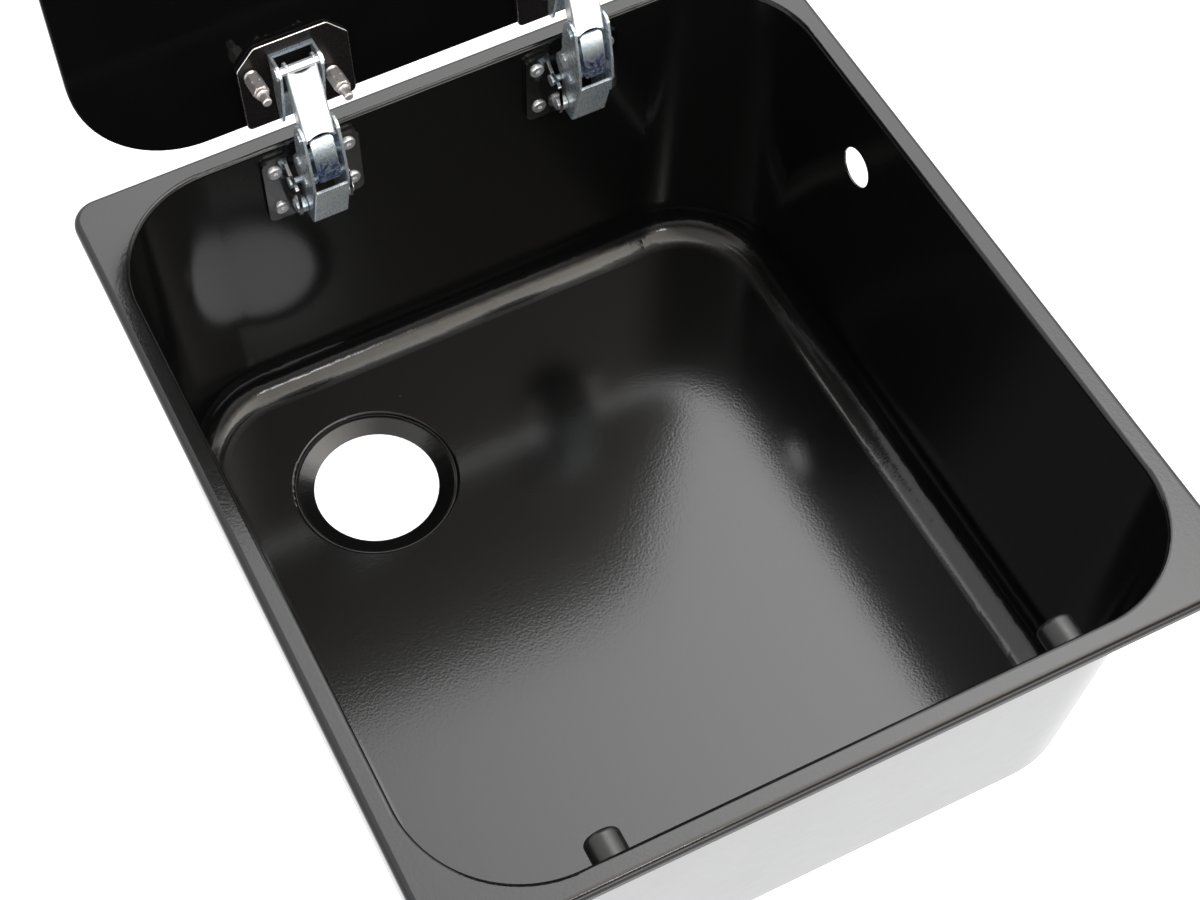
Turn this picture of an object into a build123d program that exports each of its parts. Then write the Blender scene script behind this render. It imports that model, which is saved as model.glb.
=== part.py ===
from build123d import *
import math
import os

os.makedirs("parts", exist_ok=True)

# ---------------------------------------------------------------- sink bowl, mm
SINK_W = 340.0  # over the rim, left to right
SINK_D = 370.0  # over the rim, front to back
SHEET = 0.8  # steel sheet
LIP = 5.5  # rim top above the worktop
RIM_CORNER = 12.0  # outer corner of the rim, seen from above
RIM_ROUND = 3.0  # rounding where the rim turns down
FLANGE = 10.0  # width of the rim round the opening
OPEN_CORNER = 50.0  # corner of the opening and of the bowl
EDGE_ROLL = 2.0  # rounding where the rim turns into the bowl
DEPTH = 160.0  # rim top to floor
DRAFT = 0.0375  # wall lean, mm per mm of depth
FLOOR_ROUND = 16.0  # wall to floor

DRAIN_X = -76.2
DRAIN_Y = 94.2
DRAIN_R = 30.0  # waste hole
SEAT_TOP_R = 37.4  # conical seat, upper edge
RECESS_R = 38.2
RECESS_DROP = 2.3
SEAT_DROP = 2.7
RECESS_EDGE = 2.0

OVERFLOW_R = 9.5
OVERFLOW_Y = 75.3
OVERFLOW_DOWN = 37.0  # below the rim top

# ---------------------------------------------------------------- bumpers, mm
BUMPER_X = 96.0
BUMPER_DOWN = 12.5
BUMPER_R = 7.4
BUMPER_REACH = 12.3  # inside the front wall
BUMPER_NECK_R = 4.0
BUMPER_BARB_R = 5.4
BUMPER_BARB = 3.5
BUMPER_HOLE_R = 4.05

# ---------------------------------------------------------------- lid, mm
LID_W = 313.0
LID_L = 342.0
LID_T = 4.0
LID_CORNER = 52.0
LID_EDGE = 1.0
LID_LEAN = 7.0  # degrees past upright, open
LID_FOOT_Y = 177.5  # lower edge of the inner face, open
LID_FOOT_UP = 15.8  # the same edge above the rim top

# ---------------------------------------------------------------- hinges, mm
HINGE_X = {"left": -62.0, "right": 66.0}
LEVER_PIVOT = (161.5, -26.5)  # y, and z from the rim top
EAR_PIVOT = (159.5, 18.0)
LID_PIVOT = (31.2, 10.3)  # up the lid, and off its inner face
STOP_PIN = (166.8, -16.4)
RUN = 0.05  # radial room of a running pin

METAL = 1.2  # lever, arm and lid bracket
ARM_X = 7.0  # outside of the arm
LEVER_X = 8.55
LID_BRACKET_X = 10.0
LID_BRACKET_SHIFT = -0.8  # its middle, from the middle of the hinge
BRACKET_X0 = 11.3  # inner face of the wall bracket's flange
BRACKET_X1 = 23.0
BRACKET_T = 1.5
PAD_T = 1.0
BRACKET_TOP = -6.0
BRACKET_FOOT = -43.4
BRACKET_R = 3.0
LEVER_PIN_R = 2.0
LID_PIN_R = 2.0
EAR_RIVET_R = 1.5
STOP_PIN_R = 1.5
PIN_HEAD = 1.1  # pin heads stand out this far round the pin
PIN_HEAD_T = 0.7
SPACER_R = 3.8
FOLD_R = 1.1  # outer rounding of a folded plate
STOP_RIVETS = ((164.0, -1.6), (158.4, -9.4))
STOP_RIVET_R = 1.25
STOP_X = 5.2  # outside of the stop channel
STOP_BULGE = 0.6  # how far its web bows out
STOP_HEAD_R = 2.0  # upper corners of its web
STOP_FOOT_R = 1.2
ARM_END_R = 3.4
ARM_FRONT_LOW = 3.8  # outer face of the arm's web, in front of the ear pivot
ARM_FRONT_HIGH = 2.0  # the same in front of the lid pivot
WEB_LOW = -0.4  # the web's lower end, up from the ear pivot
WEB_HIGH = 1.6  # its upper end, down from the lid pivot
WEB_NOTCH_R = 9.6  # hollow lower end of the web
WEB_CUT_R = 9.4  # hollow upper end
WEB_DIP = 1.4  # depth of the lower hollow
WEB_TOP_DIP = 1.0

POP_HEAD_R = 3.4
POP_HEAD_T = 1.3
POP_HEAD_ROUND = 1.0
POP_SHANK_R = 2.0
POP_TAIL_R = 3.1
POP_TAIL = 2.6
POP_DIMPLE_R = 1.1
POP_DIMPLE_DEEP = 1.5

PLATE_HALF = 25.2
PLATE_LONG = 41.4
PLATE_CHAMFER = 8.6
PLATE_T = 2.0
LID_BRACKET_TOP = 36.0
LID_WEB = (2.0, 14.0)  # the bracket's low web, up the lid
BRIDGE = (1.3, 1.7)  # top bridge of the bracket, high and deep
LID_PAD_T = 0.8
SCREWS = ((-19.5, 28.0), (15.6, 14.8))  # from the hinge centre, and up the lid
SCREW_R = 2.0
SCREW_END = 21.3
SCREW_HEAD_R = 5.5
SCREW_HEAD_T = 2.4
GLASS_HOLE_R = 3.25
SEAL_R = 6.0
SEAL_T = 0.8
NUT_AF = 6.4
NUT_T = 5.2
WASHER_R = 3.2
WASHER_T = 1.6
LOCK_HEX = 4.6
LOCK_COLLAR_R = 2.85
LOCK_COLLAR = 2.0

LEAN = math.radians(LID_LEAN)
WALL_TILT = math.atan(DRAFT)
OPEN_W = SINK_W - 2 * FLANGE
OPEN_D = SINK_D - 2 * FLANGE

# x right, y up the lid, z off its inner face
LID = Plane(
    origin=(0, LID_FOOT_Y, LIP + LID_FOOT_UP),
    x_dir=(1, 0, 0),
    z_dir=(0, -math.cos(LEAN), math.sin(LEAN)),
)
# x right, y up the back wall, z off the wall into the bowl
WALL = Plane(
    origin=(0, OPEN_D / 2, LIP),
    x_dir=(1, 0, 0),
    z_dir=(0, -math.cos(WALL_TILT), math.sin(WALL_TILT)),
)
# x right, y down the front wall, z off the wall into the bowl
FRONT = Plane(
    origin=(0, -OPEN_D / 2, LIP),
    x_dir=(1, 0, 0),
    z_dir=(0, math.cos(WALL_TILT), math.sin(WALL_TILT)),
)
# x to the back, y down the right wall, z off the wall into the bowl
RIGHT = Plane(
    origin=(OPEN_W / 2, 0, LIP),
    x_dir=(0, 1, 0),
    z_dir=(-math.cos(WALL_TILT), 0, math.sin(WALL_TILT)),
)
UP = (Align.CENTER, Align.CENTER, Align.MIN)


def wall_y(down, off):
    """y of a point `off` in front of the back wall, `down` from the rim top."""
    return OPEN_D / 2 + DRAFT * down - off / math.cos(WALL_TILT)


def lid_point(up, off):
    """(y, z from the rim top) of a point of the open lid."""
    y = LID_FOOT_Y + up * math.sin(LEAN) - off * math.cos(LEAN)
    z = LID_FOOT_UP + up * math.cos(LEAN) + off * math.sin(LEAN)
    return (y, z)


def outline(points, radii):
    """Flat face through the points; each corner rounded by its own radius."""
    face = make_face(Polyline(*points, close=True))
    for point, radius in zip(points, radii):
        if radius > 0:
            near = face.vertices().sort_by_distance((point[0], point[1], 0))[0]
            face = fillet(near, radius)
    return face


def side_plate(points, radii, x0, x1):
    """Plate seen from the side: corners are (y, z from the rim top)."""
    plane = Plane.YZ.offset(x0)
    shape = extrude(plane * outline(points, radii), amount=x1 - x0)
    return Pos(0, 0, LIP) * shape


def rod(place, radius, x0, x1):
    """Round bar along x at (y, z from the rim top)."""
    turn = Location((x0, place[0], LIP + place[1]), (0, 90, 0))
    return turn * Cylinder(radius, x1 - x0, align=UP)


def both_sides(shape):
    """A shape and its mirror image across x = 0."""
    return [shape, mirror(shape, about=Plane.YZ)]


def group(shapes):
    """Separate solids kept as one node."""
    return Compound(list(shapes))


# ---------------------------------------------------------------- sink


def bowl_body(grow):
    """Bowl cavity as a solid, `grow` larger all round than the inner face."""
    top = RectangleRounded(OPEN_W + 2 * grow, OPEN_D + 2 * grow, OPEN_CORNER + grow)
    foot = DEPTH + grow
    less = 2 * DRAFT * foot
    bottom = RectangleRounded(
        OPEN_W + 2 * grow - less, OPEN_D + 2 * grow - less, OPEN_CORNER + grow
    )
    faces = [Pos(0, 0, LIP) * top, Pos(0, 0, LIP - foot) * bottom]
    body = loft(faces, ruled=True)
    rim = body.faces().sort_by(Axis.Z)[0].edges()
    body = fillet(rim, FLOOR_ROUND + grow) + drain_well(grow)
    edge = [
        e
        for e in body.edges().filter_by(GeomType.CIRCLE)
        if abs(e.radius - RECESS_R - grow) < 0.01
        and abs(e.center().Z - LIP + foot) < 0.01
    ]
    return fillet(edge, RECESS_EDGE - grow)


def drain_well(grow):
    """Stepped and conical recess round the waste hole, `grow` larger."""
    floor = LIP - DEPTH
    step = Cylinder(RECESS_R + grow, RECESS_DROP + 2, align=UP)
    seat = Cone(DRAIN_R + grow, SEAT_TOP_R + grow, SEAT_DROP, align=UP)
    well = Pos(0, 0, floor - RECESS_DROP - grow) * step
    well += Pos(0, 0, floor - RECESS_DROP - SEAT_DROP - grow) * seat
    return Pos(DRAIN_X, DRAIN_Y, 0) * well


def sink_bowl():
    """Pressed bowl with its rim and the turned-down edge, one sheet."""
    void = bowl_body(0)
    skin = bowl_body(SHEET)
    block = extrude(RectangleRounded(SINK_W, SINK_D, RIM_CORNER), amount=LIP)
    block = fillet(block.faces().sort_by(Axis.Z)[-1].edges(), RIM_ROUND)
    body = block + skin - void
    edge = body.faces().filter_by(Plane.XY).sort_by(Axis.Z)[-1].inner_wires()[0]
    body = fillet(edge.edges(), EDGE_ROLL)

    under = RectangleRounded(
        SINK_W - 2 * SHEET, SINK_D - 2 * SHEET, RIM_CORNER - SHEET
    )
    under = Pos(0, 0, -1) * extrude(under, amount=LIP - SHEET + 1)
    under = fillet(under.faces().sort_by(Axis.Z)[-1].edges(), RIM_ROUND - SHEET)
    pocket = under - skin
    top = pocket.faces().filter_by(Plane.XY).sort_by(Axis.Z)[-1]
    pocket = fillet(top.inner_wires()[0].edges(), EDGE_ROLL - SHEET)
    body -= pocket

    body -= Pos(DRAIN_X, DRAIN_Y, LIP - DEPTH - 20) * Cylinder(
        DRAIN_R, 40, align=UP
    )
    overflow = Pos(OVERFLOW_Y, OVERFLOW_DOWN, 0) * Cylinder(OVERFLOW_R, 20)
    body -= RIGHT.location * overflow
    for x in (-BUMPER_X, BUMPER_X):
        hole = Pos(x, BUMPER_DOWN, 0) * Cylinder(BUMPER_HOLE_R, 20)
        body -= FRONT.location * hole
    for side in HINGE_X:
        for x, v in rivet_places(side):
            body -= WALL.location * Pos(x, v, 0) * Cylinder(POP_SHANK_R, 10)
    return body


def bumper(x):
    """Rubber plug pushed through the front wall, its tip towards the lid."""
    head = Cylinder(BUMPER_R, BUMPER_REACH, align=UP)
    head = fillet(head.faces().sort_by(Axis.Z)[-1].edges(), 2.6)
    neck = Pos(0, 0, -SHEET) * Cylinder(BUMPER_NECK_R, SHEET + 1, align=UP)
    barb = Cone(BUMPER_NECK_R - 0.6, BUMPER_BARB_R, BUMPER_BARB, align=UP)
    plug = head + neck + Pos(0, 0, -SHEET - BUMPER_BARB) * barb
    return FRONT.location * Pos(x, BUMPER_DOWN, 0) * plug


# ---------------------------------------------------------------- hinge, fixed half


def rivet_places(side):
    """(x, up the wall) of the four rivets of one hinge."""
    c = HINGE_X[side]
    return (
        (c - 17.6, -12.9),
        (c - 16.9, -36.0),
        (c + 17.6, -12.0),
        (c + 18.2, -34.6),
    )


def wall_bracket():
    """Angle plate on the back wall, the one on the right of the hinge."""
    mid = (BRACKET_X0 + BRACKET_X1) / 2
    wide = BRACKET_X1 - BRACKET_X0
    tall = BRACKET_TOP - BRACKET_FOOT
    v = (BRACKET_TOP + BRACKET_FOOT) / 2
    flat = Rectangle(wide, tall)
    outer = flat.vertices().group_by(Axis.X)[-1]
    flat = fillet(outer, BRACKET_R)
    plate = Pos(mid, v, PAD_T) * extrude(flat, amount=BRACKET_T)
    points = [
        (wall_y(-8.5, PAD_T), -8.5),
        (168.2, -12.8),
        (160.4, -14.0),
        (157.8, -24.0),
        (158.8, -31.0),
        (164.0, -35.5),
        (wall_y(-38.5, PAD_T), -38.5),
    ]
    radii = [0, 3, 3, 5, 4, 5, 0]
    flange = side_plate(points, radii, BRACKET_X0, BRACKET_X0 + BRACKET_T)
    shape = WALL.location * plate + flange
    shape -= rod(LEVER_PIVOT, LEVER_PIN_R, 0, 40)
    shape -= rod(STOP_PIN, STOP_PIN_R, 0, 40)
    return shape


def bracket_pad():
    """Thin backing between the angle plate and the wall."""
    mid = (BRACKET_X0 + BRACKET_X1) / 2
    flat = Rectangle(BRACKET_X1 - BRACKET_X0, BRACKET_TOP - BRACKET_FOOT)
    flat = fillet(flat.vertices().group_by(Axis.X)[-1], BRACKET_R)
    v = (BRACKET_TOP + BRACKET_FOOT) / 2
    return WALL.location * Pos(mid, v, 0) * extrude(flat, amount=PAD_T)


def drill_rivets(shape, side):
    """Takes the rivet shanks of one hinge out of a shape."""
    for x, v in rivet_places(side):
        shape -= WALL.location * Pos(x, v, 0) * Cylinder(POP_SHANK_R, 14)
    return shape


def pop_rivet():
    """Blind rivet: domed head with its dimple, shank and upset tail."""
    base = PAD_T + BRACKET_T
    head = Pos(0, 0, base) * Cylinder(POP_HEAD_R, POP_HEAD_T, align=UP)
    head = fillet(head.faces().sort_by(Axis.Z)[-1].edges(), POP_HEAD_ROUND)
    shank = Pos(0, 0, -SHEET) * Cylinder(POP_SHANK_R, base + SHEET, align=UP)
    tail = Pos(0, 0, -SHEET - POP_TAIL) * Cylinder(POP_TAIL_R, POP_TAIL, align=UP)
    tail = fillet(tail.edges(), 0.9)
    rivet = head + shank + tail
    dimple = Pos(0, 0, base + POP_HEAD_T - POP_DIMPLE_DEEP)
    return rivet - dimple * Cylinder(POP_DIMPLE_R, 2, align=UP)


def lever_pin():
    """Through pin between the two wall brackets, headed at both ends."""
    out = BRACKET_X0 + BRACKET_T
    end = out + PIN_HEAD_T
    shape = rod(LEVER_PIVOT, LEVER_PIN_R, -end, end)
    for x in (-end, out):
        shape += rod(LEVER_PIVOT, LEVER_PIN_R + PIN_HEAD, x, x + PIN_HEAD_T)
    return shape


def spacer():
    """Ring on the pin between the lever and the bracket."""
    ring = rod(LEVER_PIVOT, SPACER_R, LEVER_X + 0.3, BRACKET_X0)
    return ring - rod(LEVER_PIVOT, LEVER_PIN_R, 0, 20)


def stop_pin():
    """Short headed pin in the bracket that the lever's back edge meets."""
    out = BRACKET_X0 + BRACKET_T
    shape = rod(STOP_PIN, STOP_PIN_R, ARM_X + 0.4, out)
    return shape + rod(STOP_PIN, STOP_PIN_R + PIN_HEAD, out, out + PIN_HEAD_T)


# ---------------------------------------------------------------- hinge, moving half


def lever():
    """Cup-shaped lever: two side plates joined by a web at the front."""
    points = [
        (154.5, -33.0),
        (148.3, -7.6),
        (149.6, 4.0),
        (152.4, 15.0),
        (155.0, 23.6),
        (161.0, 24.6),
        (164.6, 20.5),
        (165.6, 13.0),
        (165.9, 2.0),
        (170.6, -4.5),
        (171.0, -9.0),
        (168.2, -13.2),
        (165.2, -14.6),
        (164.4, -19.2),
        (166.9, -26.0),
        (165.6, -31.0),
        (161.0, -33.0),
    ]
    radii = [0, 0, 8, 12, 3.5, 3, 4, 8, 4, 2.5, 2, 1.5, 1, 3, 3, 2.5, 2]
    x0 = LEVER_X - METAL
    sides = both_sides(side_plate(points, radii, x0, LEVER_X))
    dy = points[0][0] - points[1][0]
    dz = points[0][1] - points[1][1]
    length = math.hypot(dy, dz)
    back = (-dz / length * METAL, dy / length * METAL)
    strip = [
        points[0],
        points[1],
        (points[1][0] + back[0], points[1][1] + back[1]),
        (points[0][0] + back[0], points[0][1] + back[1]),
    ]
    web = side_plate(strip, [0, 0, 0, 0], -LEVER_X, LEVER_X)
    shape = sides[0] + sides[1] + web
    folds = [
        e
        for e in shape.edges()
        if abs(abs(e.center().X) - LEVER_X) < 0.01
        and abs(e.length - length) < 0.5
        and e.center().Y < 152
    ]
    shape = fillet(folds, FOLD_R)
    shape -= rod(LEVER_PIVOT, LEVER_PIN_R + RUN, -20, 20)
    shape -= rod(EAR_PIVOT, EAR_RIVET_R, -20, 20)
    for place in STOP_RIVETS:
        shape -= rod(place, STOP_RIVET_R, -20, 20)
    return shape


def stop_plate():
    """Channel between the lever's sides that fills the gap under the arm."""
    foot = (148.9, -2.0)
    head = (155.9, 18.1)
    dy = head[0] - foot[0]
    dz = head[1] - foot[1]
    length = math.hypot(dy, dz)
    n = (dz / length, -dy / length)

    def bow(into):
        """Side view of one face, from head to foot, `into` behind the front."""
        mid = into - STOP_BULGE
        points = [(head, into), ((foot[0] + dy / 2, foot[1] + dz / 2), mid), (foot, into)]
        return [(p[0] + n[0] * d, p[1] + n[1] * d) for p, d in points]

    front = bow(0)
    rear = bow(METAL)
    sides = [
        ThreePointArc(*front),
        Line(front[2], rear[2]),
        ThreePointArc(*rear),
        Line(rear[0], front[0]),
    ]
    strip = Plane.YZ.offset(-STOP_X) * make_face(sides)
    web = Pos(0, 0, LIP) * extrude(strip, amount=2 * STOP_X)
    ends = web.edges().filter_by(lambda e: abs(e.length - METAL) < 0.01)
    web = fillet(ends.group_by(Axis.Z)[-1], STOP_HEAD_R)
    ends = web.edges().filter_by(lambda e: abs(e.length - METAL) < 0.01)
    web = fillet(ends.group_by(Axis.Z)[0], STOP_FOOT_R)
    cheek = [
        (150.2, 1.5),
        (154.8, 14.6),
        (156.2, 14.0),
        (158.6, 10.4),
        (165.8, 1.6),
        (166.2, -3.2),
        (160.5, -11.6),
        (156.6, -11.2),
        (152.6, -3.5),
    ]
    radii = [0, 0, 0, 4, 3, 3, 1.8, 1.8, 0]
    side = side_plate(cheek, radii, STOP_X - METAL, STOP_X)
    shape = web
    for cheek_plate in both_sides(side):
        shape += cheek_plate
    for place in STOP_RIVETS:
        shape -= rod(place, STOP_RIVET_R, -20, 20)
    return shape


def stop_rivet(place):
    """Rivet through the lever's side into the channel's cheek."""
    shank = rod(place, STOP_RIVET_R, STOP_X - METAL, LEVER_X)
    collar = rod(place, STOP_RIVET_R + 0.7, STOP_X, LEVER_X - METAL)
    head = rod(place, STOP_RIVET_R + 0.95, LEVER_X, LEVER_X + 0.55)
    return shank + collar + head


def ear_rivet():
    """Pivot rivet between the lever's ear and the arm."""
    shank = rod(EAR_PIVOT, EAR_RIVET_R, STOP_X, LEVER_X)
    head = rod(EAR_PIVOT, EAR_RIVET_R + PIN_HEAD, LEVER_X, LEVER_X + PIN_HEAD_T)
    return shank + head


def arm():
    """Folded arm between the lever's ears and the lid bracket."""
    top = lid_point(*LID_PIVOT)
    length = math.hypot(top[0] - EAR_PIVOT[0], top[1] - EAR_PIVOT[1])
    tilt = math.degrees(math.atan2(top[1] - EAR_PIVOT[1], top[0] - EAR_PIVOT[0]))
    r = ARM_END_R
    lean = (ARM_FRONT_LOW - ARM_FRONT_HIGH) / length
    flat = Pos(length / 2, 0) * Rectangle(length, 2 * r)
    flat += Pos(length / 2, 0) * Rectangle(length, 2 * ARM_FRONT_LOW)
    flat += Circle(r) + Pos(length, 0) * Circle(r)
    # what lies in front of the web's outer face or behind the rounded ends
    ends = (-2 * r, length + 2 * r)
    beyond = [(x, ARM_FRONT_LOW - lean * x) for x in ends]
    beyond += [(x, 4 * r) for x in reversed(ends)]
    flat -= outline(beyond, [0, 0, 0, 0])
    flat -= Pos(length / 2, -3 * r) * Rectangle(2 * length, 4 * r)
    place = Plane(
        origin=(0, EAR_PIVOT[0], LIP + EAR_PIVOT[1]),
        x_dir=(0, math.cos(math.radians(tilt)), math.sin(math.radians(tilt))),
        z_dir=(1, 0, 0),
    )
    cheek = Pos(0, 0, ARM_X - METAL) * extrude(flat, amount=METAL)
    mid = (WEB_LOW + length - WEB_HIGH) / 2
    web_l = length - WEB_HIGH - WEB_LOW
    front = ARM_FRONT_LOW - lean * mid
    tilted = Rot(0, 0, -math.degrees(math.atan(lean)))
    web = Pos(mid, front, 0) * tilted * Pos(0, -METAL / 2, 0) * Box(web_l, METAL, 2 * ARM_X)
    low = WEB_LOW + WEB_DIP - WEB_NOTCH_R
    web -= Pos(low, 0, 0) * Rot(90, 0, 0) * Cylinder(WEB_NOTCH_R, 20)
    high = length - WEB_HIGH - WEB_TOP_DIP + WEB_CUT_R
    web -= Pos(high, 0, 0) * Rot(90, 0, 0) * Cylinder(WEB_CUT_R, 20)
    shape = cheek + Pos(0, 0, -2 * ARM_X + METAL) * cheek + web
    folds = [
        e
        for e in shape.edges()
        if abs(abs(e.center().Z) - ARM_X) < 0.01
        and e.center().Y > ARM_FRONT_HIGH
        and e.length > web_l - 1
    ]
    shape = fillet(folds, FOLD_R)
    shape = place.location * shape
    shape -= rod(EAR_PIVOT, EAR_RIVET_R + RUN, -20, 20)
    shape -= rod(top, LID_PIN_R + RUN, -20, 20)
    return shape


def lid_pin():
    """Through pin of the lid bracket, headed at both ends."""
    place = lid_point(*LID_PIVOT)
    end = LID_BRACKET_X + PIN_HEAD_T
    shape = rod(place, LID_PIN_R, -end, end)
    for x in (-end, LID_BRACKET_X):
        shape += rod(place, LID_PIN_R + PIN_HEAD, x, x + PIN_HEAD_T)
    return Pos(LID_BRACKET_SHIFT, 0, 0) * shape


# ---------------------------------------------------------------- lid


def glass_lid():
    """Toughened glass sheet with its four screw holes."""
    sheet = Pos(0, LID_L / 2, -LID_T) * extrude(
        RectangleRounded(LID_W, LID_L, LID_CORNER), amount=LID_T
    )
    rims = sheet.faces().sort_by(Axis.Z)
    sheet = fillet(rims[0].edges() + rims[-1].edges(), LID_EDGE)
    for centre in HINGE_X.values():
        for x, up in SCREWS:
            hole = Cylinder(GLASS_HOLE_R, 3 * LID_T)
            sheet -= Pos(centre + x, up, 0) * hole
    return LID.location * sheet


def plate_outline():
    """Outline of the lid plate: cut upper corners, rounded lower ones."""
    w = PLATE_HALF
    c = PLATE_CHAMFER
    points = [
        (-w, 0.0),
        (w, 0.0),
        (w, PLATE_LONG - c),
        (w - c, PLATE_LONG),
        (c - w, PLATE_LONG),
        (-w, PLATE_LONG - c),
    ]
    return outline(points, [2.5, 2.5, 3, 3, 3, 3])


def drill_screws(shape, radius):
    """Takes the two screw holes of one hinge out of a lid-frame shape."""
    for x, up in SCREWS:
        shape -= Pos(x, up, 0) * Cylinder(radius, 20)
    return shape


def lid_plate():
    """Black steel plate clamped to the inner face of the glass."""
    plate = Pos(0, 0, LID_PAD_T) * extrude(plate_outline(), amount=PLATE_T)
    plate = fillet(plate.faces().sort_by(Axis.Z)[-1].edges(), 0.5)
    return LID.location * drill_screws(plate, SCREW_R + RUN)


def lid_plate_pad():
    """Soft sheet between the plate and the glass."""
    pad = extrude(plate_outline(), amount=LID_PAD_T)
    return LID.location * drill_screws(pad, SCREW_R + RUN)


def lid_bracket():
    """Zinc frame on the lid plate: two flanges, a low web and a top bridge."""
    base = LID_PAD_T + PLATE_T
    points = [
        (1.0, base),
        (LID_BRACKET_TOP, base),
        (LID_BRACKET_TOP, 5.0),
        (35.2, 12.0),
        (31.4, 14.6),
        (26.5, 13.8),
        (6.0, 8.4),
        (1.0, 6.4),
    ]
    flat = outline(points, [0, 0, 1.0, 3.5, 5, 6, 3, 1.5])
    # the outline's own x runs up the lid and its y off the glass
    side = Plane(origin=(LID_BRACKET_X - METAL, 0, 0), x_dir=(0, 1, 0), z_dir=(1, 0, 0))
    flange = extrude(side * flat, amount=METAL)
    shape = flange + mirror(flange, about=Plane.YZ)
    wide = 2 * LID_BRACKET_X
    low, high = LID_WEB
    web = Pos(0, (low + high) / 2, base + METAL / 2) * Box(wide, high - low, METAL)
    tall, deep = BRIDGE
    bridge = Pos(0, LID_BRACKET_TOP - tall / 2, base + deep / 2)
    bridge *= Box(wide, tall, deep)
    shape = shape + web + bridge
    pin = Pos(0, LID_PIVOT[0], LID_PIVOT[1]) * Rot(0, 90, 0)
    shape -= pin * Cylinder(LID_PIN_R, 60)
    return LID.location * Pos(LID_BRACKET_SHIFT, 0, 0) * shape


def lid_screw():
    """Screw from outside through seal, glass, pad and plate."""
    under = -LID_T - SEAL_T
    length = SCREW_END - under
    shank = Pos(0, 0, under) * Cylinder(SCREW_R, length, align=UP)
    shank = fillet(shank.faces().sort_by(Axis.Z)[-1].edges(), 0.7)
    head = Cylinder(SCREW_HEAD_R, SCREW_HEAD_T, align=UP)
    head = fillet(head.faces().sort_by(Axis.Z)[0].edges(), 1.8)
    head = Pos(0, 0, under - SCREW_HEAD_T) * head
    socket = extrude(RegularPolygon(1.5, 6, major_radius=False), amount=1.6)
    return shank + head - Pos(0, 0, under - SCREW_HEAD_T) * socket


def screw_seal():
    """Soft washer between the screw head and the glass."""
    ring = Cylinder(SEAL_R, SEAL_T, align=UP) - Cylinder(SCREW_R + RUN, 5)
    return Pos(0, 0, -LID_T - SEAL_T) * ring


def nut_washer():
    """Conical washer under the nut."""
    base = LID_PAD_T + PLATE_T
    ring = Cone(WASHER_R, WASHER_R - 0.7, WASHER_T, align=UP)
    ring -= Cylinder(SCREW_R + RUN, 5)
    return Pos(0, 0, base) * ring


def hex_prism(height):
    """Nut body with its corners taken off at both ends."""
    body = extrude(RegularPolygon(NUT_AF / 2, 6, major_radius=False), amount=height)
    corner = NUT_AF / 2 / math.cos(math.pi / 6)
    dome = Cylinder(corner + 0.02, height, align=UP)
    dome = chamfer(dome.edges().filter_by(GeomType.CIRCLE), 0.32)
    return body & dome


def plain_nut():
    """Hexagon nut."""
    base = LID_PAD_T + PLATE_T + WASHER_T
    return Pos(0, 0, base) * (hex_prism(NUT_T) - Cylinder(SCREW_R + RUN, 30))


def lock_nut():
    """Second nut with its round collar."""
    base = LID_PAD_T + PLATE_T + WASHER_T + NUT_T
    collar = Pos(0, 0, LOCK_HEX) * Cylinder(LOCK_COLLAR_R, LOCK_COLLAR, align=UP)
    collar = fillet(collar.faces().sort_by(Axis.Z)[-1].edges(), 0.5)
    body = hex_prism(LOCK_HEX) + collar - Cylinder(SCREW_R + RUN, 30)
    return Pos(0, 0, base) * body


def at_screws(shape):
    """One copy of a lid-frame shape at each screw of a hinge."""
    return group([LID.location * Pos(x, up, 0) * shape for x, up in SCREWS])


# ---------------------------------------------------------------- the set

nodes = {
    "sink_bowl": sink_bowl(),
    "glass_lid": glass_lid(),
    "bumper_left": bumper(-BUMPER_X),
    "bumper_right": bumper(BUMPER_X),
}

angle_right = wall_bracket()
angle_left = mirror(angle_right, about=Plane.YZ)
pads = both_sides(bracket_pad())
rivet = pop_rivet()
per_hinge = {
    "lever_pin": lever_pin(),
    "lever_spacers": group(both_sides(spacer())),
    "stop_pins": group(both_sides(stop_pin())),
    "lever": lever(),
    "stop_plate": stop_plate(),
    "stop_plate_rivets": group(
        [s for place in STOP_RIVETS for s in both_sides(stop_rivet(place))]
    ),
    "ear_rivets": group(both_sides(ear_rivet())),
    "arm": arm(),
    "lid_pin": lid_pin(),
    "lid_bracket": lid_bracket(),
    "lid_plate": lid_plate(),
    "lid_plate_pad": lid_plate_pad(),
    "lid_screws": at_screws(lid_screw()),
    "lid_screw_seals": at_screws(screw_seal()),
    "lid_nut_washers": at_screws(nut_washer()),
    "lid_nuts": at_screws(plain_nut()),
    "lid_lock_nuts": at_screws(lock_nut()),
}

for side, centre in HINGE_X.items():
    shift = Pos(centre, 0, 0)
    outer, inner = angle_left, angle_right
    if side == "right":
        outer, inner = angle_right, angle_left
    nodes["bracket_outer_" + side] = drill_rivets(shift * outer, side)
    nodes["bracket_inner_" + side] = drill_rivets(shift * inner, side)
    nodes["bracket_pads_" + side] = group(
        [drill_rivets(shift * pad, side) for pad in pads]
    )
    nodes["bracket_rivets_" + side] = group(
        [WALL.location * Pos(x, v, 0) * rivet for x, v in rivet_places(side)]
    )
    for name, shape in per_hinge.items():
        nodes[name + "_" + side] = shift * shape

for name, shape in nodes.items():
    export_step(shape, f"parts/{name}.step")
print(len(nodes), "nodes")
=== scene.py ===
# %% [markdown]
# A caravan sink with a black glass lid, dressed for its portrait. The solid pieces come
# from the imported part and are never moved: their shapes are right as they are, so this
# script gives each one its finish and sets the camera and the light.

# %% Load the part
import math

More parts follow.
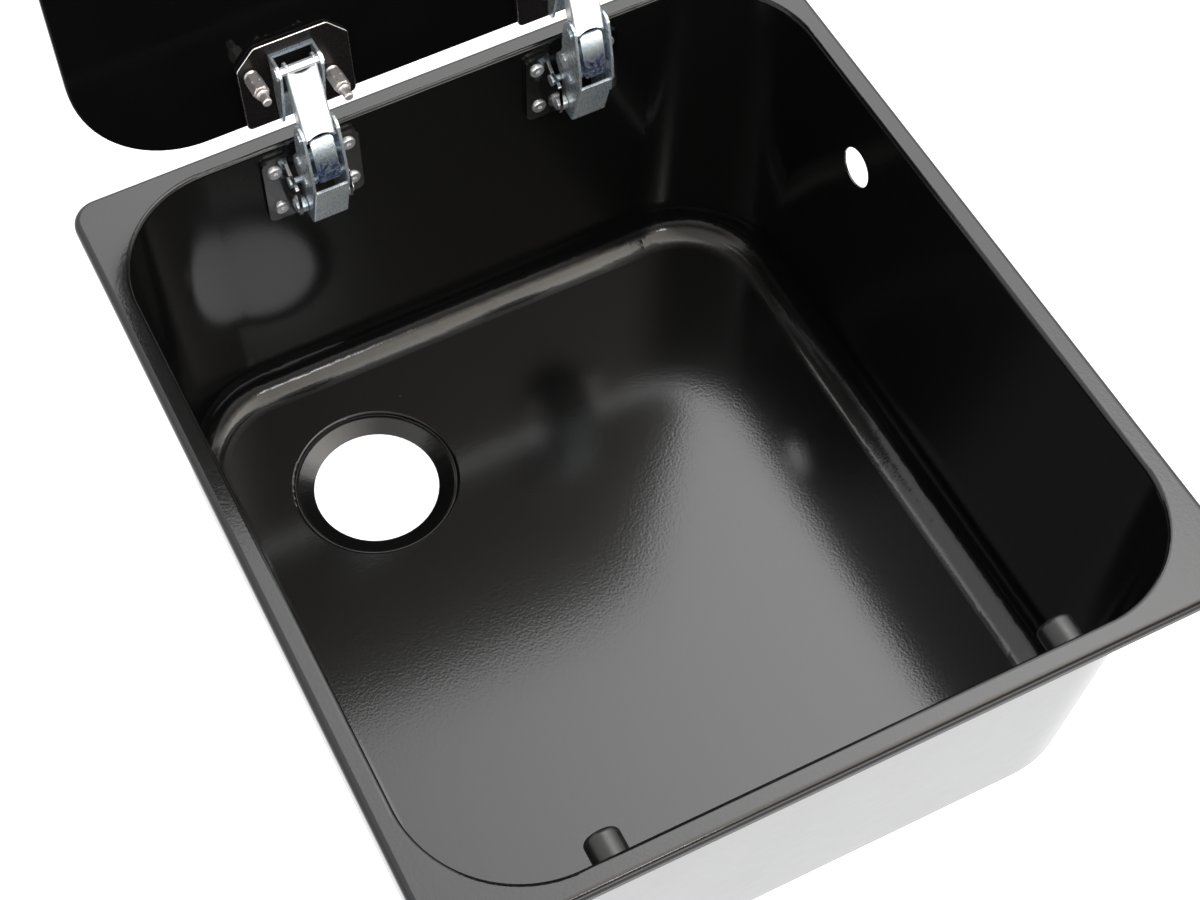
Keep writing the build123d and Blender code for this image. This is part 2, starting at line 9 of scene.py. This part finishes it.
import bpy
from mathutils import Euler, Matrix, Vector


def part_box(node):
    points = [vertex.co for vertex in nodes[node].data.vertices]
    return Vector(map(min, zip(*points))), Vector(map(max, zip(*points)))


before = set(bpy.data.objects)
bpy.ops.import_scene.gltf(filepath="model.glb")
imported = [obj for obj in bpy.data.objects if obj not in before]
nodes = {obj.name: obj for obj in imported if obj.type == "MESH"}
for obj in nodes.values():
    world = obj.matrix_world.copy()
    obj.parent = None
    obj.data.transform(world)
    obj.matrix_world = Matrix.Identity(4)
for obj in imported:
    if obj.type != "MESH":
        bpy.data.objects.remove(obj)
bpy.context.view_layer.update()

MM = 0.001  # metres in a millimetre
SINK_LOW, SINK_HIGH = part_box("sink_bowl")
RIM_TOP = SINK_HIGH.z
print("rim top", RIM_TOP, "underside", SINK_LOW.z)


# %% [markdown]
# The camera stands in front and to the left of the sink and looks steeply down into it,
# a little over half a metre above the worktop. The picture was cropped off centre, so the
# lens is shifted to keep the verticals converging the way they do there.

# %% Camera
PICTURE_W, PICTURE_H = 1200, 900
SENSOR = 36.0
FOCAL_PIXELS = 2160.484
CENTRE_X, CENTRE_Y = 426.998, 483.117  # where the lens points, in picture pixels
CAMERA_AT = (-0.251881, -0.413124, 0.726087)
CAMERA_TURN = (0.5430569, 0.0389470, -0.4427988)

lens = bpy.data.cameras.new("portrait_lens")
lens.sensor_width = SENSOR
lens.lens = FOCAL_PIXELS * SENSOR / PICTURE_W
lens.shift_x = (PICTURE_W / 2 - CENTRE_X) / PICTURE_W
lens.shift_y = (CENTRE_Y - PICTURE_H / 2) / PICTURE_W
lens.clip_start = 0.01
camera = bpy.data.objects.new("portrait_camera", lens)
camera.location = CAMERA_AT
camera.rotation_euler = Euler(CAMERA_TURN, "XYZ")
bpy.context.scene.collection.objects.link(camera)
bpy.context.scene.camera = camera
bpy.context.scene.view_settings.view_transform = "Standard"
print("lens", round(lens.lens, 2), "mm")


# %% [markdown]
# A node material is a small graph. These two helpers keep each finish short: `finish`
# starts a material with its main shader, and `add` drops in one node with its settings.
# A socket may be given a number, a colour or the output of another node.

# %% Helpers for finishes
def finish(name):
    """A new material: returns it with its node tree and its main shader."""
    material = bpy.data.materials.new(name)
    material.use_nodes = True
    tree = material.node_tree
    return material, tree, tree.nodes["Principled BSDF"]


def connect(tree, socket, value):
    """Sets a socket to a plain value, or links it to another node's output."""
    if isinstance(value, bpy.types.NodeSocket):
        tree.links.new(value, socket)
    else:
        socket.default_value = value


def add(tree, kind, inputs=(), **settings):
    """One node: `inputs` maps a socket's name or number to a value or an output."""
    node = tree.nodes.new("ShaderNode" + kind)
    for key, value in settings.items():
        setattr(node, key, value)
    for key, value in dict(inputs).items():
        connect(tree, node.inputs[key], value)
    return node


def place(tree, stretch=(1, 1, 1)):
    """Object coordinates in metres, stretched for grain."""
    where = add(tree, "TexCoord").outputs["Object"]
    return add(tree, "Mapping", {"Vector": where, "Scale": stretch}).outputs[0]


def noise(tree, size, detail=3, stretch=(1, 1, 1), roughness=0.5):
    """Cloudy pattern whose blobs are about `size` metres across."""
    at = place(tree, stretch)
    inputs = {"Vector": at, "Scale": 1 / size, "Detail": detail}
    node = add(tree, "TexNoise", inputs)
    node.inputs["Roughness"].default_value = roughness
    return node.outputs["Fac"]


def remap(tree, value, low, high, to_low, to_high):
    """Carries low..high to to_low..to_high, held at both ends."""
    names = ("Value", "From Min", "From Max", "To Min", "To Max")
    inputs = dict(zip(names, (value, low, high, to_low, to_high)))
    return add(tree, "MapRange", inputs, clamp=True).outputs[0]


def math_node(tree, operation, a, b=0.0):
    """One sum, product or comparison of two values."""
    return add(tree, "Math", {0: a, 1: b}, operation=operation).outputs[0]


def mix_colour(tree, share, a, b):
    """Colour `a` where share is 0, and `b` where it is 1."""
    node = add(tree, "Mix", data_type="RGBA")
    for socket, value in zip((0, 6, 7), (share, a, b)):
        connect(tree, node.inputs[socket], value)
    return node.outputs[2]


def bump(tree, height, distance, strength=1.0, under=None):
    """Fine relief of `distance` metres for a height of 1."""
    inputs = {"Height": height, "Distance": distance, "Strength": strength}
    node = add(tree, "Bump", inputs)
    if under is not None:
        connect(tree, node.inputs["Normal"], under)
    return node.outputs[0]


def grey(level):
    """A neutral colour."""
    return (level, level, level, 1.0)


# %% [markdown]
# The bowl is one pressed steel sheet. Inside and over the rim it carries a glossy black
# coating with the faint dimpling of sprayed paint; outside it is bare satin steel. One
# shader does both. It could be two materials on two sets of faces, but the pressed walls
# lean just enough for the surface's own direction to tell the two sides apart: a face
# that looks even slightly down is on the bare side. The gloss is the shader's coat layer,
# a clear skin over a nearly black base, as lacquer is.

# %% Black coating and bare steel
COAT = grey(0.006)
DUST_TONE = grey(0.09)
STEEL = (0.44, 0.44, 0.45, 1.0)
PEEL = 1.2 * MM  # width of one dimple of the sprayed coat
WALL_PEEL, FLOOR_PEEL = 0.014 * MM, 0.030 * MM  # their depth, upright and level
GLOSS, GLOSS_ROUGHNESS = 0.84, 0.13  # the clear skin
HAZE, SATIN = 0.02, (0.36, 0.40)  # the base's own weak shine and its roughness
BARE_FROM, BARE_TO = -0.012, -0.028  # of the direction's upward part
STEEP, LEVEL = 0.3, 0.95  # upward part where a wall ends and the floor begins


def dust(tree, spacing, size, share):
    """1 on a few tiny specks and 0 elsewhere."""
    cell = add(tree, "TexVoronoi", {"Vector": place(tree), "Scale": 1 / spacing})
    near = remap(tree, cell.outputs["Distance"], size, size * 1.6, 1.0, 0.0)
    chance = add(tree, "SeparateColor", {"Color": cell.outputs["Color"]}).outputs[0]
    picked = math_node(tree, "LESS_THAN", chance, share)
    return math_node(tree, "MULTIPLY", near, picked)


def sink_finish():
    material, tree, shader = finish("black_coated_steel")
    facing = add(tree, "NewGeometry").outputs["Normal"]
    up = add(tree, "SeparateXYZ", {"Vector": facing}).outputs[2]
    metal_share = remap(tree, up, BARE_FROM, BARE_TO, 0.0, 1.0)
    cloud = noise(tree, 60 * MM)
    specks = dust(tree, 26 * MM, 0.012, 0.35)
    black = mix_colour(tree, specks, COAT, DUST_TONE)
    grain = noise(tree, 0.35 * MM, 2, (0.04, 0.04, 1.0))
    steel_tone = remap(tree, grain, 0.3, 0.7, 0.92, 1.04)
    steel = add(tree, "VectorMath", {0: STEEL[:3], 1: steel_tone}, operation="MULTIPLY")
    colour = mix_colour(tree, metal_share, black, steel.outputs[0])
    connect(tree, shader.inputs["Base Color"], colour)
    connect(tree, shader.inputs["Metallic"], metal_share)
    connect(tree, shader.inputs["Roughness"], remap(tree, cloud, 0.3, 0.7, *SATIN))
    shader.inputs["Specular IOR Level"].default_value = HAZE
    shader.inputs["Coat Weight"].default_value = GLOSS
    shader.inputs["Coat Roughness"].default_value = GLOSS_ROUGHNESS
    depth = remap(tree, up, STEEP, LEVEL, WALL_PEEL, FLOOR_PEEL)
    peel = bump(tree, noise(tree, PEEL, 2), depth)
    connect(tree, shader.inputs["Normal"], peel)
    connect(tree, shader.inputs["Coat Normal"], peel)
    return material


sink_material = sink_finish()
print("coating and steel:", len(sink_material.node_tree.nodes), "nodes")


# %% [markdown]
# The lid is toughened glass, black all through, with a polished face. It could be clear
# glass over a dark sheet, but nothing shows through the real one, so a dark glossy solid
# is enough. Real glass is never quite flat, so a very long, very shallow wave bends its
# reflections a little, and a faint smear changes its gloss.

# %% Black glass
GLASS_SHINE = 0.08
GLASS_WAVE, GLASS_WAVE_DEPTH = 90 * MM, 0.02 * MM


def glass_finish():
    material, tree, shader = finish("black_glass")
    smear = noise(tree, 25 * MM, 4)
    tone = mix_colour(tree, smear, grey(0.0035), grey(0.0055))
    connect(tree, shader.inputs["Base Color"], tone)
    connect(tree, shader.inputs["Roughness"], remap(tree, smear, 0.3, 0.7, 0.03, 0.07))
    shader.inputs["IOR"].default_value = 1.5
    shader.inputs["Specular IOR Level"].default_value = GLASS_SHINE
    wave = noise(tree, GLASS_WAVE, 1)
    connect(tree, shader.inputs["Normal"], bump(tree, wave, GLASS_WAVE_DEPTH))
    return material


glass_material = glass_finish()
print("glass:", len(glass_material.node_tree.nodes), "nodes")


# %% [markdown]
# The hinges are pressed from sheet and zinc plated. Fresh zinc is a little blue, with
# faintly greener patches where the plating dried, and very fine rolling marks run through
# it. Plated sheet is duller than solid polished metal, so the shader is only part metal:
# the rest is a pale matt film. One recipe serves every pressed piece. `bright` pulls its
# colour towards white for the arms, a painted highlight in a lit copy of the zinc, and
# `shade` below 1 pulls it towards a dark brown for the wall brackets, painted shade in a
# shaded copy of the same zinc.

# %% Zinc plate
BLUE_ZINC, GREEN_ZINC = (0.60, 0.68, 0.77, 1), (0.74, 0.79, 0.79, 1)
# Colours of the painted highlight on the arms and of the painted shade on the wall
# brackets.
PAINTED_HIGHLIGHT_ZINC, PAINTED_SHADE_ZINC = (0.94, 0.95, 0.96, 1), (0.16, 0.14, 0.13, 1)
ROLLING_MARK, MARK_STRETCH = 0.25 * MM, (1.0, 0.1, 0.1)
ROUGHNESS_SPREAD = 0.015


def zinc_finish(name, rough=0.28, metal=0.65, shade=1.0, bright=0.0):
    """Returns the material, its tree, its shader, and its colour and relief outputs."""
    material, tree, shader = finish(name)
    patches = noise(tree, 7 * MM, 4, roughness=0.6)
    tint = remap(tree, patches, 0.35, 0.65, 0.0, 1.0)
    tone = mix_colour(tree, tint, BLUE_ZINC, GREEN_ZINC)
    # `bright` paints a highlight by pulling the colour towards white.
    tone = mix_colour(tree, bright, tone, PAINTED_HIGHLIGHT_ZINC)
    # `shade` below 1 paints shade by pulling the colour towards dark brown.
    tone = mix_colour(tree, shade, PAINTED_SHADE_ZINC, tone)
    connect(tree, shader.inputs["Base Color"], tone)
    shader.inputs["Metallic"].default_value = metal
    lines = noise(tree, ROLLING_MARK, 2, MARK_STRETCH)
    low, high = rough - ROUGHNESS_SPREAD, rough + ROUGHNESS_SPREAD
    connect(tree, shader.inputs["Roughness"], remap(tree, lines, 0.3, 0.7, low, high))
    relief = bump(tree, noise(tree, 4 * MM, 2), 0.006 * MM)
    connect(tree, shader.inputs["Normal"], relief)
    return material, tree, shader, tone, relief


zinc = zinc_finish("zinc_plate")[0]
# A shaded copy of the zinc: painted shade for the wall brackets.
zinc_painted_shade = zinc_finish("zinc_plate_painted_shade", rough=0.14, metal=1.0, shade=0.35)[0]
# A lit copy of the zinc: a painted highlight for the arms and pins.
zinc_painted_highlight = zinc_finish("zinc_plate_painted_highlight", rough=0.24, metal=0.5, bright=0.9)[0]
print("plain, dull and bright zinc:", len(zinc.node_tree.nodes), "nodes each")


# %% [markdown]
# On the bowed plate inside each lever the zinc dried in deep blue blotches. This starts
# from the plain zinc and mixes the blue in by a noise pattern, which is held back above by
# the height on the piece: painted shade that keeps the blue to the lower part and leaves
# the upper part pale. A painted mask would do the same, but would need a picture and a
# flattened copy of the surface.

# %% Blotched zinc
STOP_LOW, STOP_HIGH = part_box("stop_plate_left")  # the right one is as high
PALE_BLUE, DEEP_BLUE = (0.16, 0.27, 0.50, 1), (0.04, 0.09, 0.26, 1)
BLOTCH = 1.4 * MM
# Heights where the painted shade of blue ends and the pale top begins.
PAINTED_SHADE_BELOW, PAINTED_PALE_ABOVE = 0.55, 0.72  # share of the plate's height


def blotched_zinc():
    material, tree, shader, tone, relief = zinc_finish("zinc_plate_blotched", 0.2, 0.8)
    where = add(tree, "TexCoord").outputs["Object"]
    height = add(tree, "SeparateXYZ", {"Vector": where}).outputs[2]
    height = remap(tree, height, STOP_LOW.z, STOP_HIGH.z, 0.0, 1.0)
    # Painted shade: 1 on the lower part of the plate, where the blue may show, and 0 on
    # the pale top.
    painted_shade_mask = remap(tree, height, PAINTED_SHADE_BELOW, PAINTED_PALE_ABOVE, 1.0, 0.0)
    foot = remap(tree, height, 0.08, 0.22, 0.35, 1.0)
    blotches = noise(tree, BLOTCH, 7, roughness=0.75)
    share = remap(tree, blotches, 0.45, 0.53, 0.12, 1.0)
    share = math_node(tree, "MULTIPLY", share, painted_shade_mask)
    share = math_node(tree, "MULTIPLY", share, foot)
    depth = remap(tree, noise(tree, 3.5 * MM, 4), 0.4, 0.6, 0.0, 1.0)
    blue = mix_colour(tree, depth, PALE_BLUE, DEEP_BLUE)
    connect(tree, shader.inputs["Base Color"], mix_colour(tree, share, tone, blue))
    connect(tree, shader.inputs["Normal"], bump(tree, blotches, 0.03 * MM, under=relief))
    return material


zinc_blotched = blotched_zinc()
print("plate from", round(STOP_LOW.z, 4), "to", round(STOP_HIGH.z, 4), "m")


# %% [markdown]
# The clamping plates on the lid are black with a slight gloss, and their rounded front
# edges carry a painted highlight: a pale metal colour laid along the rounding and broken
# up by the scuffs. Such a highlight could be painted by hand. Here the surface's
# own direction finds the edges: the plate's face looks straight out of the lid, its sides
# look across it, and only the narrow rounding looks between the two. A few scuffs and
# specks keep the black from looking like a hole.

# %% Black plate
LID_LEAN = math.radians(7.0)  # the open lid stands this far past upright
LID_NORMAL = (0.0, -math.cos(LID_LEAN), math.sin(LID_LEAN))
SIDE_BELOW, FACE_ABOVE = 0.25, 0.9  # how far a spot looks the way the face does
BLACK_PAINT, SCUFFED_PAINT = (0.012, 0.010, 0.010, 1), (0.12, 0.11, 0.10, 1)
# Colour of the painted highlight along the rounded edges.
PAINTED_EDGE_HIGHLIGHT = (0.80, 0.78, 0.76, 1)
PLATE_SHINE = 0.2


def plate_finish():
    material, tree, shader = finish("black_plate")
    own = add(tree, "TexCoord").outputs["Normal"]
    facing = add(tree, "VectorMath", {0: own, 1: LID_NORMAL}, operation="DOT_PRODUCT")
    facing = facing.outputs["Value"]
    off_face = math_node(tree, "LESS_THAN", facing, FACE_ABOVE)
    off_side = math_node(tree, "GREATER_THAN", facing, SIDE_BELOW)
    rounded = math_node(tree, "MULTIPLY", off_face, off_side)
    scuff = noise(tree, 0.8 * MM, 6, (1.0, 0.25, 1.0), roughness=0.7)
    # The painted edge highlight: the rounding, thinned where the scuffs fall.
    metal_share = math_node(tree, "MULTIPLY", rounded, remap(tree, scuff, 0.3, 0.5, 0.55, 1.0))
    marks = remap(tree, scuff, 0.66, 0.76, 0.0, 0.2)
    marks = math_node(tree, "MAXIMUM", marks, dust(tree, 3 * MM, 0.06, 0.3))
    paint = mix_colour(tree, marks, BLACK_PAINT, SCUFFED_PAINT)
    tone = mix_colour(tree, metal_share, paint, PAINTED_EDGE_HIGHLIGHT)
    connect(tree, shader.inputs["Base Color"], tone)
    connect(tree, shader.inputs["Metallic"], metal_share)
    shader.inputs["Specular IOR Level"].default_value = PLATE_SHINE
    gloss = remap(tree, scuff, 0.3, 0.7, 0.22, 0.34)
    connect(tree, shader.inputs["Roughness"], gloss)
    connect(tree, shader.inputs["Normal"], bump(tree, scuff, 0.004 * MM))
    return material


plate = plate_finish()
print("black plate:", len(plate.node_tree.nodes), "nodes")


# %% [markdown]
# Rivets are aluminium, the screws and nuts nickel plated. Both are small bright metal and
# differ only in colour, roughness and how lumpy they are: the nickel is warmer and a
# little uneven. One recipe makes both, because the eye reads such small pieces by their
# highlights and not by their grain.

# %% Rivets, screws and nuts
def small_metal(name, spot, tones, metal, rough, relief):
    """Bright metal with spots `spot` metres wide and `relief` metres deep."""
    material, tree, shader = finish(name)
    spots = noise(tree, spot, 4)
    connect(tree, shader.inputs["Base Color"], mix_colour(tree, spots, *tones))
    shader.inputs["Metallic"].default_value = metal
    connect(tree, shader.inputs["Roughness"], remap(tree, spots, 0.3, 0.7, *rough))
    connect(tree, shader.inputs["Normal"], bump(tree, spots, relief))
    return material


RIVET_TONES = (grey(0.88), (0.95, 0.95, 0.96, 1))
NICKEL_TONES = ((0.90, 0.83, 0.80, 1), (0.96, 0.92, 0.90, 1))
rivet = small_metal(
    "rivet_aluminium", 0.7 * MM, RIVET_TONES, 0.8, (0.26, 0.38), 0.01 * MM
)
nickel = small_metal("nickel", 1.1 * MM, NICKEL_TONES, 0.75, (0.26, 0.38), 0.015 * MM)
print("rivets and nickel:", len(rivet.node_tree.nodes), "nodes each")


# %% [markdown]
# Bumpers, pads and seals are smooth moulded rubber, a shade greyer than the coating. Such
# rubber has a faint pale bloom in soft clouds, which changes its colour and its gloss
# together, so one noise drives both.

# %% Rubber
def rubber_finish():
    material, tree, shader = finish("black_rubber")
    bloom = noise(tree, 3 * MM, 4)
    tone = mix_colour(tree, bloom, grey(0.012), grey(0.022))
    connect(tree, shader.inputs["Base Color"], tone)
    connect(tree, shader.inputs["Roughness"], remap(tree, bloom, 0.3, 0.7, 0.28, 0.40))
    connect(tree, shader.inputs["Normal"], bump(tree, noise(tree, 0.5 * MM), 0.006 * MM))
    return material


rubber = rubber_finish()
print("rubber:", len(rubber.node_tree.nodes), "nodes")


# %% [markdown]
# Each solid keeps its own shape and takes the finish of what it is made of. The beginning
# of a name is enough to tell which, so a table of beginnings sorts all of them. The first
# one that fits counts, and the last, empty one fits every pressed piece that is left.

# %% Give every piece its finish
FINISHES = [
    ("sink_bowl", sink_material),
    ("glass_lid", glass_material),
    ("bumper", rubber),
    ("bracket_pads", rubber),
    ("bracket_rivets", rivet),
    ("bracket_", zinc_painted_shade),
    ("lid_plate_pad", rubber),
    ("lid_plate", plate),
    ("lid_screw_seals", rubber),
    ("lid_screws", nickel),
    ("lid_nut", nickel),
    ("lid_lock_nuts", nickel),
    ("stop_plate_rivets", zinc),
    ("stop_plate", zinc_blotched),
    ("arm_", zinc_painted_highlight),
    ("lid_pin", zinc_painted_highlight),
    ("", zinc),
]


def finish_for(name):
    """The finish of the first beginning in the table that the name has."""
    return next(material for start, material in FINISHES if name.startswith(start))


for name, piece in nodes.items():
    piece.data.materials.clear()
    piece.data.materials.append(finish_for(name))
print(len(nodes), "pieces finished")


# %% [markdown]
# The floor is plain and pale. Where the camera looks at it, a little glow lifts it to
# white over its own shading, and the sink's shadow stays. A mirror sees it evenly white.
# A brighter lamp would whiten the floor too, but it would wash out the sink as well.

# %% Floor and surroundings
FLOOR_HALF = 3.0
FLOOR_GAP = 0.0005  # below the sink's underside
CAMERA_LIFT, MIRROR_LIFT = 0.95, 1.05
FLOOR_TONE, FLOOR_IN_MIRROR = grey(0.8), grey(0.1)


def floor_finish():
    material, tree, shader = finish("white_floor")
    tree.nodes.remove(shader)
    ray = add(tree, "LightPath").outputs
    mirrored = math_node(tree, "MAXIMUM", ray["Is Glossy Ray"], ray["Is Transmission Ray"])
    paint = mix_colour(tree, ray["Is Glossy Ray"], FLOOR_TONE, FLOOR_IN_MIRROR)
    paint = add(tree, "BsdfDiffuse", {"Color": paint})
    glow = math_node(tree, "MULTIPLY", mirrored, MIRROR_LIFT)
    seen = math_node(tree, "MULTIPLY", ray["Is Camera Ray"], CAMERA_LIFT)
    glow = math_node(tree, "ADD", glow, seen)
    lift = add(tree, "Emission", {"Strength": glow})
    both = add(tree, "AddShader", {0: paint.outputs[0], 1: lift.outputs[0]})
    tree.links.new(both.outputs[0], tree.nodes["Material Output"].inputs["Surface"])
    return material


floor_mesh = bpy.data.meshes.new("floor")
ends = ((-1, -1), (1, -1), (1, 1), (-1, 1))
corners = [(x * FLOOR_HALF, y * FLOOR_HALF, SINK_LOW.z - FLOOR_GAP) for x, y in ends]
floor_mesh.from_pydata(corners, [], [(0, 1, 2, 3)])
floor_mesh.materials.append(floor_finish())
floor = bpy.data.objects.new("floor", floor_mesh)
bpy.context.scene.collection.objects.link(floor)

print("floor at", SINK_LOW.z)


# %% [markdown]
# Glossy black shows little of itself and much of the room, so the studio around it is
# most of its look. Three kinds of ray see three studios. The camera sees plain white.
# Matt surfaces get a plain soft level, a little more from the right, at which a colour
# comes out about as it is written. Mirrors see the studio's large soft panels: overhead
# and to the right they are bright, behind they are dimmer low down, in front they are dim
# and warm, and one narrow panel stands low in front and whitens the arms. Real panels
# could stand there as lamps, but a world that depends on direction has no edges and noise.

# %% Studio
OVERHEAD = 3.2  # how bright mirrors see the studio straight above
TO_THE_RIGHT = 11.5  # brighter to the right, darker to the left
DIMMEST, BRIGHTEST = 1.8, 8.0
BACK_PANEL, BACK_PANEL_TOP = 4.6, 0.82  # the lower part of the back is less bright
BACKDROP_TOP, CEILING_FROM = 0.35, 0.65  # upward part of the direction
FRONT_EDGE, BACK_EDGE = -0.3, 0.3  # backward part of the direction
FRONT_LOW, FRONT_HIGH = 0.12, 0.7  # how dim the front half is beside the back
FRONT_RISE = (0.66, 0.82)  # upward part between those two
BACKDROP = 1.25  # a mirror sees the backdrop a little brighter than white
FRONT_PANEL, FRONT_PANEL_TOP = 3.0, 0.34  # a narrow soft panel low in front
FRONT_PANEL_SIDES = (-0.82, -0.90)  # backward part where it fades in
WARM = (1.0, 0.93, 0.84, 1.0)
MATT_LEVEL, MATT_TO_RIGHT = 0.95, 0.5

world = bpy.data.worlds.new("studio")
world.use_nodes = True
bpy.context.scene.world = world
sky = world.node_tree


def sky_math(operation, a, b):
    """One sum or product in the world's graph."""
    return math_node(sky, operation, a, b)


where = add(sky, "TexCoord").outputs["Generated"]
east, north, up = add(sky, "SeparateXYZ", {"Vector": where}).outputs
ray = add(sky, "LightPath").outputs

# %% What mirrors see
top = BACK_PANEL_TOP
most = remap(sky, up, top - 0.02, top + 0.02, BACK_PANEL, BRIGHTEST)
panels = sky_math("ADD", sky_math("MULTIPLY", east, TO_THE_RIGHT), OVERHEAD)
panels = sky_math("MAXIMUM", sky_math("MINIMUM", panels, most), DIMMEST)
front = remap(sky, up, *FRONT_RISE, FRONT_LOW, FRONT_HIGH)
panels = sky_math("MULTIPLY", panels, remap(sky, north, FRONT_EDGE, BACK_EDGE, front, 1.0))

above = remap(sky, up, BACKDROP_TOP, CEILING_FROM, 0.0, 1.0)
backdrop = sky_math("MULTIPLY", sky_math("SUBTRACT", 1.0, above), BACKDROP)
mirrored = sky_math("ADD", sky_math("MULTIPLY", above, panels), backdrop)

top = FRONT_PANEL_TOP
low = remap(sky, up, top, top + 0.05, FRONT_PANEL, 0.0)
ahead = remap(sky, north, *FRONT_PANEL_SIDES, 0.0, 1.0)
mirrored = sky_math("ADD", mirrored, sky_math("MULTIPLY", low, ahead))
print("mirrors see up to", BRIGHTEST, "and the camera 1.0")

# %% Join the three studios
plain = sky_math("ADD", sky_math("MULTIPLY", east, MATT_TO_RIGHT), MATT_LEVEL)
level = add(sky, "Mix", {0: ray["Is Glossy Ray"], 2: plain, 3: mirrored}).outputs[0]
level = add(sky, "Mix", {0: ray["Is Camera Ray"], 2: level, 3: 1.0}).outputs[0]
connect(sky, sky.nodes["Background"].inputs["Strength"], level)

warmth = remap(sky, north, FRONT_EDGE, BACK_EDGE, 1.0, 0.0)
warmth = sky_math("MULTIPLY", warmth, sky_math("MULTIPLY", ray["Is Glossy Ray"], above))
tint = mix_colour(sky, warmth, grey(1.0), WARM)
connect(sky, sky.nodes["Background"].inputs["Color"], tint)
print("studio:", len(sky.nodes), "nodes")


# %% [markdown]
# One small lamp stands in front, a little to the right, and draws the thin bright lines
# along edges and rivet heads. A sun lamp would do that too, but its highlights have no
# size, and a panel this small and near gives them the soft ends that a studio lamp does.

# %% Front lamp
LAMP_AT, LAMP_AIM = (0.16, -0.869, 0.968), (-0.07, 0.1, -0.1)
LAMP_W, LAMP_H, LAMP_POWER = 0.126, 0.109, 1.0

light = bpy.data.lights.new("front_lamp", "AREA")
light.shape = "RECTANGLE"
light.size, light.size_y = LAMP_W, LAMP_H
light.energy = LAMP_POWER
lamp = bpy.data.objects.new("front_lamp", light)
lamp.location = LAMP_AT
way = Vector(LAMP_AIM) - Vector(LAMP_AT)
lamp.rotation_euler = way.to_track_quat("-Z", "Y").to_euler()
bpy.context.scene.collection.objects.link(lamp)
print("lamp", round(way.length, 2), "m from what it points at")
